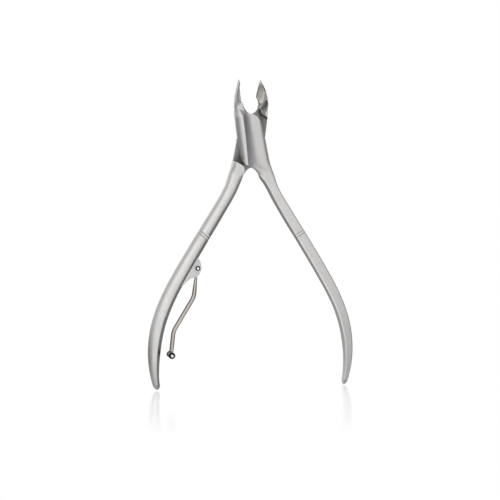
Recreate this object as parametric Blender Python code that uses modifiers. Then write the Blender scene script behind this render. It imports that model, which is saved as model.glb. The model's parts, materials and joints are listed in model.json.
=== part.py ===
"""Cuticle nipper with a lap joint and a swing-away spring arm.

Two forged levers cross at a lap joint.  The front lever carries the left jaw,
the front half of the lap and the right handle.  The back lever carries the
right jaw, the back half of the lap and the left handle, with a slotted lug
for the spring arm.  Lengths are in millimetres until MM turns them to metres.
+Z runs from the handle ends to the jaw tips, Y is the joint axis, and the
open side of the jaws' hollows faces -Y.
"""
import math
import bpy
import bmesh
from mathutils import Matrix, Vector

MM = 0.001

# --- the joint -------------------------------------------------------------
OPEN_HALF = 10.0          # each lever's turn from closed, degrees
PIVOT = (0.0, -0.64, 86.5)   # joint axis above the middle of the footprint
LAP_GAP = 0.3             # play between the two lap faces
HALF_THICK = 3.5          # half the thickness of the joint
FLAT = 3.42               # the ground outer faces of the lap
RIVET_R = 1.6
CLEAR = 0.3
LAP_R = 9.3               # radius of the shoulders round the joint
SCOOP = 0.85              # how far the lap's flat lies below its ridge

# --- the spring arm, in the closed back lever's plane ----------------------
ARM_PIN = (-11.15, -47.0)
ARM_BEND_1 = (-10.5, -57.1)
ARM_BEND_2 = (-15.5, -69.9)
ARM_END = (-15.0, -78.2)
WIRE_R = 0.75
LUG_THICK = 3.6
SLOT = 2.1
EYE_HALF = 0.62           # half the thickness of the eyes forged at the wire's ends
PIN_R = 0.5
CROSS_LEN = 6.6
KNOB_R = 1.15

# --- tables of design dimensions, read by smooth() -------------------------
# outer side of the blank below and above the joint: height, distance from axis
OUTER = [(9.5, 4.75), (4.0, 4.8), (0.0, 4.85), (-5.0, 4.9), (-9.0, 5.05),
         (-13.9, 5.75), (-17.0, 6.2), (-20.0, 7.1), (-26.0, 9.45),
         (-38.0, 14.35), (-50.0, 19.0), (-56.5, 21.2), (-62.5, 22.7),
         (-68.0, 23.5), (-72.5, 23.65), (-77.0, 23.3), (-81.0, 22.6),
         (-85.0, 21.45), (-89.0, 19.8), (-92.0, 18.3)]
# outer side of the jaw column: height, distance from axis
COLUMN = [(13.0, 3.84), (10.4, 4.25), (7.6, 4.5), (4.0, 4.7), (0.0, 4.85),
          (-3.0, 4.9), (-6.0, 4.95), (-8.5, 4.6), (-10.0, 2.6), (-11.5, 0.7),
          (-13.4, -0.8)]
# handle width across: height, width, for the back and the front lever
WIDE = [(-13.4, 4.85), (-17.0, 4.45), (-20.0, 4.4), (-26.0, 4.5), (-38.0, 4.75),
        (-50.0, 4.9), (-68.0, 4.85), (-73.0, 4.7), (-77.0, 4.45), (-81.0, 4.05),
        (-85.0, 3.4), (-89.0, 2.6), (-92.0, 2.1)]
SLIM = [(-13.4, 4.85), (-15.2, 4.1), (-17.0, 3.6), (-20.0, 3.5), (-26.0, 3.65), (-38.0, 3.75),
        (-56.0, 3.7), (-62.0, 3.5), (-68.0, 3.35), (-73.0, 3.15), (-77.0, 2.9),
        (-81.0, 2.55), (-86.0, 2.0), (-89.0, 1.6), (-92.0, 1.3)]
# half of a handle's depth along the joint axis
DEPTH = [(9.5, 2.56), (-16.0, 2.56), (-26.0, 2.56), (-45.0, 2.5),
         (-70.0, 2.4), (-82.0, 2.1), (-92.0, 1.5)]
# the flats that chamfer a handle's two inner edges: height, width across
FACET_WIDE = [(-14.0, 0.5), (-25.0, 0.7), (-40.0, 1.0), (-55.0, 1.25), (-72.0, 1.45), (-85.0, 1.1), (-92.0, 0.6)]
FACET_SLIM = [(-14.0, 0.15), (-30.0, 0.15), (-60.0, 0.2), (-85.0, 0.25), (-92.0, 0.2)]
# how steep those flats are, and how square the section is at its root, outside and inside
BACK_FORM = (0.8, 3.2, 2.4, 2.6)
FRONT_FORM = (1.1, 5.0, 6.0, 5.0)
# jaw: cutting edge, front edge of the hollow, and crest of the outer side
EDGE_Y = [(21.1, 2.35), (19.7, 3.0), (18.4, 3.6), (17.0, 4.1), (15.8, 4.45),
          (14.5, 4.65), (13.0, 4.7), (9.5, 4.2)]
FRONT_X = [(21.1, 0.15), (20.5, 0.25), (19.7, 0.5), (18.4, 1.2), (17.1, 1.85),
           (15.8, 2.05), (14.5, 2.0), (13.0, 1.5), (9.5, 0.6)]
FRONT_Y = [(21.1, 2.1), (20.5, 1.2), (19.7, -0.3), (18.4, -1.6), (17.1, -2.2),
           (15.8, -2.5), (14.5, -2.7), (13.0, -2.9), (9.5, -3.3)]
CREST_X = [(21.1, 0.3), (19.65, 1.18), (18.4, 1.86), (17.1, 2.46), (15.8, 3.05),
           (14.5, 3.44), (13.0, 3.84), (9.5, 4.3)]
CREST_Y = [(21.1, 2.25), (19.65, 1.6), (18.4, 1.0), (17.1, 0.2), (15.8, -0.2),
           (14.5, -0.6), (13.0, -0.8), (9.5, -0.4)]
TIP_Z = 21.1
# the ridge on a lap's outer face, and how far the scoop beside it runs
RIDGE = [(11.0, 2.0), (2.0, 2.35), (-8.7, 3.2)]
SCOOP_W = [(9.5, 2.9), (2.0, 3.4), (-5.0, 4.1), (-9.0, 4.9), (-14.0, 5.6)]

GROOVE_Z = -34.6          # ring turned into each handle
END_Z = -89.3             # where a handle's rounded end begins
END_LEN = 2.3


def smooth(table, z):
    """Value at z on a smooth curve through a table's points."""
    pts = sorted(table)
    if z <= pts[0][0]:
        return pts[0][1]
    if z >= pts[-1][0]:
        return pts[-1][1]
    n = len(pts)

    def slope(i):
        if i <= 0:
            return (pts[1][1] - pts[0][1]) / (pts[1][0] - pts[0][0])
        if i >= n - 1:
            return (pts[-1][1] - pts[-2][1]) / (pts[-1][0] - pts[-2][0])
        a = (pts[i][1] - pts[i - 1][1]) / (pts[i][0] - pts[i - 1][0])
        b = (pts[i + 1][1] - pts[i][1]) / (pts[i + 1][0] - pts[i][0])
        ha = pts[i][0] - pts[i - 1][0]
        hb = pts[i + 1][0] - pts[i][0]
        return (a * hb + b * ha) / (ha + hb)

    for i in range(n - 1):
        z0, z1 = pts[i][0], pts[i + 1][0]
        if z0 <= z <= z1:
            h = z1 - z0
            t = (z - z0) / h
            m0, m1 = slope(i) * h, slope(i + 1) * h
            return ((2 * t ** 3 - 3 * t ** 2 + 1) * pts[i][1] + (t ** 3 - 2 * t ** 2 + t) * m0
                    + (-2 * t ** 3 + 3 * t ** 2) * pts[i + 1][1] + (t ** 3 - t ** 2) * m1)


def ease(a, b, z):
    t = min(1.0, max(0.0, (z - a) / (b - a)))
    return t * t * (3 - 2 * t)


def power(angle, p):
    c, s = math.cos(angle), math.sin(angle)
    return (math.copysign(abs(c) ** (2 / p), c), math.copysign(abs(s) ** (2 / p), s))


def bow(a, q, b, t):
    """Point on the arc from a to b that leans towards q."""
    return tuple((1 - t) ** 2 * a[k] + 2 * t * (1 - t) * q[k] + t * t * b[k] for k in (0, 1))


# Every section has the same four runs: the side towards -X from back to front,
# the front, the side towards +X from front to back, and the back.
def jaw_section(z, runs):
    c = (0.08, smooth(EDGE_Y, z))
    e = (smooth(FRONT_X, z), smooth(FRONT_Y, z))
    o = (smooth(CREST_X, z), smooth(CREST_Y, z))
    hollow = 0.9 * ease(TIP_Z, 17.5, z)
    full = ease(20.0, 15.0, z)
    q1 = (e[0] + (0.7 + 0.2 * full) * (o[0] - e[0]), e[1] + (0.3 - 0.25 * full) * (o[1] - e[1]))
    q2 = (o[0] * 0.97, o[1] + 0.8 * (c[1] - o[1]))
    mid = ((c[0] + e[0]) / 2 + hollow, (c[1] + e[1]) / 2)
    n1, n2, n3, n4 = runs
    pts = [bow(c, mid, e, i / n1) for i in range(n1)]
    pts += [bow(e, q1, o, i / n2) for i in range(n2)]
    pts += [bow(o, q2, c, 0.4 * i / n3) for i in range(n3)]
    pts += [bow(o, q2, c, 0.4 + 0.6 * i / n4) for i in range(n4)]
    return [(x, y, z) for x, y in pts]


def lap_section(z, runs):
    xl, xr = -smooth(OUTER, z), smooth(COLUMN, z)
    cx, hw, p = (xl + xr) / 2, (xr - xl) / 2, 6.0 - 3.0 * ease(5.5, 9.5, z)
    round_side = 6.0 - 3.9 * ease(3.0, 7.5, z)
    ridge = min(smooth(RIDGE, z), xr - 0.3)
    wide = max(1.0, min(smooth(SCOOP_W, z), ridge + 1.9))
    low = 0.6
    n1, n2, n3, n4 = runs

    def plain(angle):
        u, v = power(angle, round_side if math.cos(angle) > 0 else p)
        y = max(-FLAT, min(FLAT, HALF_THICK * v))
        if y > 0 and u < 0:
            y *= 1 - SCOOP / FLAT
        return cx + hw * u, y

    def rounded(angle):
        u, v = power(angle, 2.3)
        return ridge + (xr - ridge) * u, low + (FLAT - low) * v

    pts = [plain(math.radians(135 + 90 * i / n1)) for i in range(n1)]
    pts += [plain(math.radians(225 + 90 * i / n2)) for i in range(n2)]
    for i in range(n3):
        t = i / n3
        if t < 0.5:
            pts.append(plain(math.radians(315 + 90 * t)))
        else:
            pts.append(rounded(math.radians(90 * (t - 0.5))))
    corner = plain(math.radians(135))
    for i in range(n4):
        t = i / n4
        if t < 0.3:
            pts.append(rounded(math.radians(45 + 150 * t)))
            continue
        s = (t - 0.3) / 0.7
        x = ridge + (corner[0] - ridge) * s
        u = min(1.0, abs(x - cx) / hw)
        k = max(0.0, min(1.0, (ridge - x) / wide))
        y = FLAT - SCOOP * (1 - (1 - k) ** 1.9)
        side = HALF_THICK * (1 - SCOOP / FLAT) * (1 - u ** p) ** (1 / p)
        if x < cx:
            y = min(y, side)
        pts.append((x, y))
    return [(x, y, z) for x, y in pts]


def handle_section(z, runs, widths, facet, form, shrink=1.0, slide=0.0):
    """A section square to the handle, its outer side at height z."""
    slope, root, square, inner = form
    o = Vector((-smooth(OUTER, z), z))
    run = Vector((-(smooth(OUTER, z + 0.5) - smooth(OUTER, z - 0.5)), 1.0)).normalized()
    lean = ease(-9.0, -19.0, z)
    across = Vector((1.0, 0.0)).lerp(Vector((run.y, -run.x)), lean).normalized()
    w = smooth(widths, z) if z < -13.4 else smooth(COLUMN, z) + smooth(OUTER, z)
    mid = o + across * (w / 2) - run * slide
    hw, hd = w / 2, smooth(DEPTH, z)
    p = root + (square - root) * ease(-14.0, -28.0, z)
    c = smooth(facet, z)
    m = Vector((slope, 1.0)).normalized()
    far = m.x * (hw - c) + m.y * hd * 0.98
    pts = []
    start = 135
    for n in runs:
        for i in range(n):
            angle = math.radians(start + 90 * i / n)
            u, v = power(angle, p if math.cos(angle) < 0 else max(p, inner))
            x, y = hw * u, hd * v
            if x > 0:
                reach = m.x * x + m.y * abs(y)
                if reach > far:
                    x, y = x * far / reach, y * far / reach
            q = mid + across * (x * shrink)
            pts.append((q.x, y * shrink, q.y))
        start += 90
    return pts


def blend(a, b, t):
    return [tuple(p[k] * (1 - t) + q[k] * t for k in range(3)) for p, q in zip(a, b)]


def groove(z):
    """How much a handle's section shrinks in the two lines of its ring."""
    d = abs(abs(z - GROOVE_Z) - 0.45)
    return 1.0 - 0.05 * max(0.0, 1.0 - d / 0.3)


def flip(ring, runs):
    """A section mirrored in Y, re-read so that it still starts at its back left."""
    n = len(ring)
    turned_round = [ring[(runs[0] - j) % n] for j in range(n)]
    return [(x, -y, z) for x, y, z in turned_round]


def lever_rings(stations, runs, widths, facet, form, turned_over, end_steps):
    """turned_over: the lap faces the other way, while the jaw keeps its edge at the back."""
    n1, n2, n3, n4 = runs
    jaw_runs = (n1, n4, n3, n2) if turned_over else runs
    rings = []
    for z in stations:
        if z > 8.2:
            ring = jaw_section(z, jaw_runs)
            t = ease(8.2, 13.5, z)
            if t < 1:
                lap = lap_section(z, runs)
                ring = blend(flip(lap, runs) if turned_over else lap, ring, t)
        else:
            if z > -8.0:
                ring = lap_section(z, runs)
            else:
                t = ease(-8.0, -13.4, z)
                ring = handle_section(z, runs, widths, facet, form, shrink=groove(z))
                if t < 1:
                    ring = blend(lap_section(z, runs), ring, t)
            if turned_over:
                ring = flip(ring, runs)
        rings.append(ring)
    for i in range(1, end_steps + 1):
        a = math.radians(88.0 * i / end_steps)
        ring = handle_section(END_Z, runs, widths, facet, form, shrink=max(0.12, math.cos(a)),
                              slide=END_LEN * math.sin(a))
        rings.append(flip(ring, runs) if turned_over else ring)
    return rings


# --- Blender helpers -------------------------------------------------------
def collection(name):
    col = bpy.data.collections.new(name)
    bpy.context.scene.collection.children.link(col)
    return col


def steel(name, colour, rough):
    mat = bpy.data.materials.new(name)
    mat.use_nodes = True
    bsdf = mat.node_tree.nodes["Principled BSDF"]
    bsdf.inputs["Base Color"].default_value = (*colour, 1.0)
    bsdf.inputs["Metallic"].default_value = 1.0
    bsdf.inputs["Roughness"].default_value = rough
    return mat


def face_out(bm):
    bmesh.ops.recalc_face_normals(bm, faces=bm.faces)
    if bm.calc_volume(signed=True) < 0:
        bmesh.ops.reverse_faces(bm, faces=bm.faces)


def add_object(name, bm, col, material=None, angle=32):
    face_out(bm)
    mesh = bpy.data.meshes.new(name)
    bm.to_mesh(mesh)
    bm.free()
    mesh.shade_smooth()
    mesh.set_sharp_from_angle(angle=math.radians(angle))
    obj = bpy.data.objects.new(name, mesh)
    col.objects.link(obj)
    if material:
        mesh.materials.append(material)
    return obj


def loft(rings, mirror):
    bm = bmesh.new()
    sign = -1.0 if mirror else 1.0
    grid = [[bm.verts.new((sign * x * MM, y * MM, z * MM)) for x, y, z in ring] for ring in rings]
    n = len(grid[0])
    for a, b in zip(grid, grid[1:]):
        for j in range(n):
            k = (j + 1) % n
            bm.faces.new((a[j], b[j], b[k], a[k]))
    bm.faces.new(grid[0])
    bm.faces.new(list(reversed(grid[-1])))
    return bm


def plan_solid(name, points, y0, y1, col, mirror=False, material=None):
    """A flat outline in the XZ plane, run from y0 to y1."""
    curve = bpy.data.curves.new(name + "_outline", "CURVE")
    curve.dimensions = "2D"
    curve.fill_mode = "BOTH"
    curve.extrude = abs(y1 - y0) / 2 * MM
    spline = curve.splines.new("POLY")
    spline.points.add(len(points) - 1)
    sign = -1.0 if mirror else 1.0
    for p, (x, z) in zip(spline.points, points):
        p.co = (sign * x * MM, z * MM, 0.0, 1.0)
    spline.use_cyclic_u = True
    holder = bpy.data.objects.new(name + "_curve", curve)
    bpy.context.scene.collection.objects.link(holder)
    bpy.context.view_layer.update()
    deps = bpy.context.evaluated_depsgraph_get()
    mesh = bpy.data.meshes.new_from_object(holder.evaluated_get(deps))
    bpy.data.objects.remove(holder)
    bm = bmesh.new()
    bm.from_mesh(mesh)
    bpy.data.meshes.remove(mesh)
    bmesh.ops.remove_doubles(bm, verts=bm.verts, dist=1e-6)
    turn = Matrix.Rotation(math.radians(90), 4, "X")
    bm.transform(Matrix.Translation((0, (y0 + y1) / 2 * MM, 0)) @ turn)
    return add_object(name, bm, col, material)


def rod(name, r, y0, y1, at, col, segments=32, material=None):
    """A round bar along Y."""
    bm = bmesh.new()
    bmesh.ops.create_cone(bm, cap_ends=True, segments=segments, radius1=r * MM, radius2=r * MM,
                          depth=abs(y1 - y0) * MM)
    bm.transform(Matrix.Translation((at[0] * MM, (y0 + y1) / 2 * MM, at[1] * MM))
                 @ Matrix.Rotation(math.radians(90), 4, "X"))
    return add_object(name, bm, col, material)


def combine(obj, other, how):
    mod = obj.modifiers.new(how.title(), "BOOLEAN")
    mod.operation = how
    mod.object = other
    mod.solver = "EXACT"
    return mod


def settle(obj):
    """Apply an object's modifiers, so that it can be placed and parented."""
    bpy.context.view_layer.update()
    deps = bpy.context.evaluated_depsgraph_get()
    mesh = bpy.data.meshes.new_from_object(obj.evaluated_get(deps))
    old = obj.data
    obj.modifiers.clear()
    obj.data = mesh
    bpy.data.meshes.remove(old)
    mesh.name = obj.name
    bm = bmesh.new()
    bm.from_mesh(mesh)
    bmesh.ops.remove_doubles(bm, verts=bm.verts, dist=1e-6)
    bmesh.ops.dissolve_degenerate(bm, dist=2e-6, edges=bm.edges)
    bm.to_mesh(mesh)
    bm.free()
    mesh.shade_smooth()
    mesh.set_sharp_from_angle(angle=math.radians(32))


def arc(r, a0, a1, n):
    return [(r * math.cos(math.radians(a0 + (a1 - a0) * i / n)),
             r * math.sin(math.radians(a0 + (a1 - a0) * i / n))) for i in range(n + 1)]


def lap_cutter_plan():
    """The area over which a lever is milled to half its thickness."""
    plan = [(-8.0, -7.5), (-2.9, -9.05), (-1.05, -10.4), (-1.05, -13.3), (3.0, -15.3), (8.5, -10.0)]
    plan += arc(LAP_R, 12, 80, 16)
    plan += [(0.95, 10.6), (0.6, 11.4), (-2.0, 11.9), (-8.0, 11.9)]
    return plan


def throat_plan(heel):
    """What is cut away above the lap, up to the heel of the cutting edge."""
    return [(-5.6, -3.0), (-4.35, 0.5), (-4.15, 4.4), (-3.75, 6.3), (-2.9, 7.75), (-1.8, 8.6),
            (-0.6, 9.1), (0.2, 9.9), (0.75, 11.0), (1.15, 12.0 if heel > 14 else 11.8),
            (1.2, 12.9 if heel > 14 else 12.2), (0.9, 13.9 if heel > 14 else 12.5),
            (0.08, heel), (-1.0, heel + 0.2), (-1.0, 24.0), (-9.0, 24.0), (-9.0, -3.0)]


def crotch_plan():
    """What is cut away below the lap, down to the handle's inner side."""
    return [(6.5, -5.6), (4.95, -5.9), (4.75, -6.9), (4.2, -7.8), (3.2, -8.6), (2.1, -9.35),
            (0.75, -10.3), (-0.1, -11.6), (-0.95, -13.6), (-0.95, -14.2), (6.5, -14.2)]


def tidy_cutters(col):
    for obj in col.objects:
        obj.hide_render = True
        obj.display_type = "WIRE"


def main():
    for obj in list(bpy.data.objects):
        bpy.data.objects.remove(obj, do_unlink=True)
    parts = collection("cuticle_nipper")
    cutters = collection("cutters")

    satin_front = steel("satin_steel_front", (0.62, 0.61, 0.60), 0.38)
    satin_back = steel("satin_steel_back", (0.56, 0.55, 0.54), 0.40)
    rivet_steel = steel("rivet_steel", (0.60, 0.60, 0.60), 0.30)
    lug_steel = steel("lug_steel", (0.55, 0.54, 0.53), 0.42)
    pin_steel = steel("pin_steel", (0.75, 0.75, 0.75), 0.15)
    wire_steel = steel("wire_steel", (0.36, 0.33, 0.31), 0.35)
    cross_steel = steel("crossbar_steel", (0.50, 0.50, 0.50), 0.18)

    runs = (5, 6, 6, 10)
    stations = [TIP_Z, 20.6, 19.8, 18.6, 17.3, 16.0, 14.7, 13.5, 12.3, 11.2, 10.3, 9.5, 7.5, 4.5, 1.0,
           -2.5, -5.5, -7.5, -9.0, -10.4, -11.8, -13.4, -15.2, -17.2, -19.5, -22.5, -26.0, -30.0,
           -33.2]
    stations += [-33.85, -34.15, -34.45, -34.75, -35.05, -35.35, -38.5, -43.0, -47.5, -52.0, -56.5,
              -60.5, -64.5, -68.5, -72.5, -76.5, -80.5, -84.0, -87.0, END_Z]

    # bodies hang from empties: the joint axis carries the whole tool
    base = bpy.data.objects.new("back_lever_frame", None)
    turn = bpy.data.objects.new("front_lever_axis", None)
    swing = bpy.data.objects.new("spring_arm_axis", None)
    for e in (base, turn, swing):
        bpy.context.scene.collection.objects.link(e)
    base.location = [v * MM for v in PIVOT]
    base.rotation_euler = (0, math.radians(OPEN_HALF), 0)
    turn.location = [v * MM for v in PIVOT]
    turn.rotation_euler = (0, math.radians(-OPEN_HALF), 0)
    swing.parent = base
    swing.location = (ARM_PIN[0] * MM, 0, ARM_PIN[1] * MM)

    # --- back lever ---
    back = add_object("back_lever", loft(lever_rings(stations, runs, WIDE, FACET_WIDE, BACK_FORM, False, 5), False), parts, satin_back)
    for c in (plan_solid("back_lap_cut", lap_cutter_plan(), -9.0, LAP_GAP / 2, cutters),
              plan_solid("back_throat_cut", throat_plan(15.2), -9.0, 9.0, cutters),
              plan_solid("back_crotch_cut", crotch_plan(), -9.0, 9.0, cutters),
              rod("back_rivet_hole", RIVET_R + CLEAR, -1.0, 9.0, (0, 0), cutters)):
        combine(back, c, "DIFFERENCE")
    settle(back)
    back.parent = base

    # --- front lever: the lap at the front, so its blank is turned round in Y below the
    # jaw's base; the jaw itself keeps its cutting edge at the back ---
    front = add_object("front_lever", loft(lever_rings(stations, runs, SLIM, FACET_SLIM, FRONT_FORM, True, 5), True),
                       parts, satin_front)
    for c in (plan_solid("front_lap_cut", lap_cutter_plan(), -LAP_GAP / 2, 9.0, cutters, True),
              plan_solid("front_throat_cut", throat_plan(12.9), -9.0, 9.0, cutters, True),
              plan_solid("front_crotch_cut", crotch_plan(), -9.0, 9.0, cutters, True),
              rod("front_rivet_hole", RIVET_R + CLEAR, -9.0, 1.0, (0, 0), cutters)):
        combine(front, c, "DIFFERENCE")
    settle(front)
    front.parent = turn

    # --- rivet of the lap joint, ground flush at both ends ---
    rivet = rod("joint_rivet", RIVET_R, SCOOP - FLAT + 0.02, FLAT - SCOOP - 0.02, (0, 0), parts, 32, rivet_steel)
    rivet.parent = base

    # --- spring lug: a slotted cheek plate brazed to the handle's inner side ---
    lug_plan = lug_outline()
    lug = plan_solid("spring_lug", lug_plan, -LUG_THICK / 2, LUG_THICK / 2, parts, False, lug_steel)
    bev = lug.modifiers.new("Bevel", "BEVEL")
    bev.width = 0.25 * MM
    bev.segments = 2
    bev.limit_method = "ANGLE"
    bev.angle_limit = math.radians(60)
    slot_plan = [(-12.9, -43.0), (-12.9, -48.5), (-13.7, -54.5), (-7.5, -54.5), (-7.5, -43.0)]
    combine(lug, plan_solid("lug_slot", slot_plan, -SLOT / 2, SLOT / 2, cutters), "DIFFERENCE")
    combine(lug, rod("lug_pin_hole", PIN_R + CLEAR, -4, 4, ARM_PIN, cutters, 20), "DIFFERENCE")
    settle(lug)
    lug.parent = base

    # --- pin of the spring arm: a rivet with two domed heads ---
    pin = turned("spring_pin", dome_pin_profile(PIN_R, 0.85, LUG_THICK / 2 + 0.3, 0.45), 20, parts, pin_steel)
    pin.parent = base
    pin.location = (ARM_PIN[0] * MM, 0, ARM_PIN[1] * MM)

    # --- spring arm: bent wire with an eye at each end ---
    arm = wire_arm(parts, cutters, wire_steel)
    arm.parent = swing

    # --- cross pin at the arm's free end, with a domed knob each side of the wire ---
    cross = turned("cross_pin", cross_profile(), 20, parts, cross_steel)
    cross.parent = swing
    cross.location = ((ARM_END[0] - ARM_PIN[0]) * MM, 0, (ARM_END[1] - ARM_PIN[1]) * MM)

    tidy_cutters(cutters)
    bpy.context.view_layer.update()


def lug_outline():
    inner = []
    for z in (-53.2, -51.5, -49.5, -47.5, -45.5, -43.2):
        ring = handle_section(z, (4, 4, 4, 4), WIDE, FACET_WIDE, BACK_FORM)
        q = max(ring, key=lambda p: p[0])
        inner.append((q[0] + 0.32, q[2]))
    return inner + [(-10.75, -44.2), (-10.15, -45.6), (-9.95, -47.0), (-10.15, -48.4), (-10.75, -49.9),
                    (-11.6, -50.6), (-12.7, -51.2), (-13.7, -52.3)]


def turned(name, profile, segments, col, material):
    """A turned piece round Y from a profile of (radius, y), with a Screw modifier."""
    mesh = bpy.data.meshes.new(name)
    bm = bmesh.new()
    verts = [bm.verts.new((r * MM, 0, h * MM)) for r, h in profile]
    for a, b in zip(verts, verts[1:]):
        bm.edges.new((a, b))
    bm.to_mesh(mesh)
    bm.free()
    obj = bpy.data.objects.new(name, mesh)
    col.objects.link(obj)
    mod = obj.modifiers.new("Screw", "SCREW")
    mod.steps = segments
    mod.render_steps = segments
    mod.axis = "Z"
    mod.use_merge_vertices = True
    mod.merge_threshold = 0.00001
    mod.use_smooth_shade = True
    mesh.materials.append(material)
    settle(obj)
    bm = bmesh.new()
    bm.from_mesh(obj.data)
    bm.transform(Matrix.Rotation(math.radians(90), 4, "X"))
    face_out(bm)
    bm.to_mesh(obj.data)
    bm.free()
    obj.data.shade_smooth()
    obj.data.set_sharp_from_angle(angle=math.radians(32))
    if not obj.data.materials:
        obj.data.materials.append(material)
    return obj


def dome_pin_profile(r, head_r, half, dome):
    pts = []
    for i in range(4):
        a = math.radians(90 * i / 4)
        pts.append((head_r * math.sin(a), half + dome * math.cos(a)))
    pts += [(head_r, half + 0.02), (head_r, half), (r, half)]
    lower = [(x, -y) for x, y in reversed(pts)]
    return pts + lower


def cross_profile():
    inner, outer = WIRE_R + CLEAR, CROSS_LEN / 2
    pts = []
    for i in range(5):
        a = math.radians(90 * i / 5)
        pts.append((KNOB_R * math.sin(a), outer - 0.7 + 0.7 * math.cos(a)))
    pts += [(KNOB_R, outer - 0.7), (KNOB_R, inner + 0.2), (KNOB_R - 0.2, inner), (PIN_R, inner)]
    return pts + [(x, -y) for x, y in reversed(pts)]


def wire_arm(parts, cutters, material):
    px, pz = ARM_PIN
    corners = [ARM_PIN, ARM_BEND_1, ARM_BEND_2, ARM_END]
    corners = [(x - px, z - pz) for x, z in corners]
    soft = 1.6                      # how far from a bend's corner its arc begins
    pts = [Vector(corners[0])]
    for a, b, c in zip(corners, corners[1:], corners[2:]):
        a, b, c = Vector(a), Vector(b), Vector(c)
        p, q = b + (a - b).normalized() * soft, b + (c - b).normalized() * soft
        for i in range(5):
            t = i / 4
            pts.append((1 - t) ** 2 * p + 2 * t * (1 - t) * b + t * t * q)
    pts.append(Vector(corners[-1]))
    curve = bpy.data.curves.new("spring_arm_route", "CURVE")
    curve.dimensions = "3D"
    curve.bevel_depth = WIRE_R * MM
    curve.bevel_resolution = 2
    curve.use_fill_caps = True
    spline = curve.splines.new("POLY")
    spline.points.add(len(pts) - 1)
    for s, p in zip(spline.points, pts):
        s.co = (p.x * MM, 0, p.y * MM, 1.0)
    holder = bpy.data.objects.new("spring_arm_curve", curve)
    bpy.context.scene.collection.objects.link(holder)
    bpy.context.view_layer.update()
    deps = bpy.context.evaluated_depsgraph_get()
    mesh = bpy.data.meshes.new_from_object(holder.evaluated_get(deps))
    bpy.data.objects.remove(holder)
    bm = bmesh.new()
    bm.from_mesh(mesh)
    bpy.data.meshes.remove(mesh)
    bmesh.ops.remove_doubles(bm, verts=bm.verts, dist=1e-6)
    arm = add_object("spring_arm", bm, parts, material)
    end = corners[-1]
    for label, at, r in (("top", (0, 0), 1.1), ("end", end, 1.05)):
        combine(arm, rod("arm_eye_" + label, r, -EYE_HALF, EYE_HALF, at, cutters, 20), "UNION")
    for label, at in (("top", (0, 0)), ("end", end)):
        combine(arm, rod("arm_hole_" + label, PIN_R + 0.25, -3, 3, at, cutters, 20), "DIFFERENCE")
    settle(arm)
    return arm


main()
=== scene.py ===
import json
import math
import bpy
import bmesh
from mathutils import Matrix, Vector

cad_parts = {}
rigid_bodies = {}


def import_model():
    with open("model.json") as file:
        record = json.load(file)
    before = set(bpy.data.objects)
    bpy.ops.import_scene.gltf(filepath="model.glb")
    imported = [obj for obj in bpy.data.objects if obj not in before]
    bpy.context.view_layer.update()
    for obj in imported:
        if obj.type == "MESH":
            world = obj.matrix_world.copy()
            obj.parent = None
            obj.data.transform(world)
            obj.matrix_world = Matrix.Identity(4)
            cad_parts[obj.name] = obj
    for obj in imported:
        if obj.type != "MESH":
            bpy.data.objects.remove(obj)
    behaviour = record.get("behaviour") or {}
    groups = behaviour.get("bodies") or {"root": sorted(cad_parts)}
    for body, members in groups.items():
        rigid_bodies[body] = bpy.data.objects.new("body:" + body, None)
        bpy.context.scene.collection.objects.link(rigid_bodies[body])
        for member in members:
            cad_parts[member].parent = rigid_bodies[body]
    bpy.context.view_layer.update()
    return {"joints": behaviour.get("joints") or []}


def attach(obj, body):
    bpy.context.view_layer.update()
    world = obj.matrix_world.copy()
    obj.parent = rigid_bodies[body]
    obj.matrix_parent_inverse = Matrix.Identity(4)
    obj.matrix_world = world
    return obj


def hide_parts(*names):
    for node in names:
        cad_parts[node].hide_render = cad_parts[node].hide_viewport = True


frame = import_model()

MM = 0.001

# ---------------------------------------------------------------------------
# dimensions, repeated from the design (millimetres, each lever drawn closed)
# ---------------------------------------------------------------------------
OPEN_HALF = 10.0
LAP_GAP = 0.06
HALF_THICK = 3.5
FLAT = 3.42
RIVET_R = 1.6
LAP_R = 9.3
SCOOP = 0.85
ARM_PIN = (-11.15, -47.0)
ARM_BEND_1 = (-10.5, -57.1)
ARM_BEND_2 = (-15.5, -69.9)
ARM_END = (-15.0, -78.2)
WIRE_R = 0.75
LUG_THICK = 3.6
SLOT = 2.1
PIN_R = 0.5
CROSS_LEN = 6.6
KNOB_R = 1.15

OUTER = [(9.5, 4.75), (4.0, 4.8), (0.0, 4.85), (-5.0, 4.9), (-9.0, 5.05),
         (-13.9, 5.75), (-17.0, 6.2), (-20.0, 7.1), (-26.0, 9.45),
         (-38.0, 14.35), (-50.0, 19.0), (-56.5, 21.2), (-62.5, 22.7),
         (-68.0, 23.5), (-72.5, 23.65), (-77.0, 23.3), (-81.0, 22.6),
         (-85.0, 21.45), (-89.0, 19.8), (-92.0, 18.3)]
COLUMN = [(13.0, 3.84), (10.4, 4.25), (7.6, 4.5), (4.0, 4.7), (0.0, 4.85),
          (-3.0, 4.9), (-6.0, 4.95), (-8.5, 4.6), (-10.0, 2.6), (-11.5, 0.7),
          (-13.4, -0.8)]
WIDE = [(-13.4, 4.85), (-17.0, 4.45), (-20.0, 4.4), (-26.0, 4.5), (-38.0, 4.75),
        (-50.0, 4.9), (-68.0, 4.85), (-73.0, 4.7), (-77.0, 4.45), (-81.0, 4.05),
        (-85.0, 3.4), (-89.0, 2.6), (-92.0, 2.1)]
SLIM = [(-13.4, 4.85), (-15.2, 4.1), (-17.0, 3.6), (-20.0, 3.5), (-26.0, 3.65), (-38.0, 3.75),
        (-56.0, 3.7), (-62.0, 3.5), (-68.0, 3.35), (-73.0, 3.15), (-77.0, 2.9),
        (-81.0, 2.55), (-86.0, 2.0), (-89.0, 1.6), (-92.0, 1.3)]
DEPTH = [(9.5, 2.56), (-16.0, 2.56), (-26.0, 2.56), (-45.0, 2.5),
         (-70.0, 2.4), (-82.0, 2.1), (-92.0, 1.5)]
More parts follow.
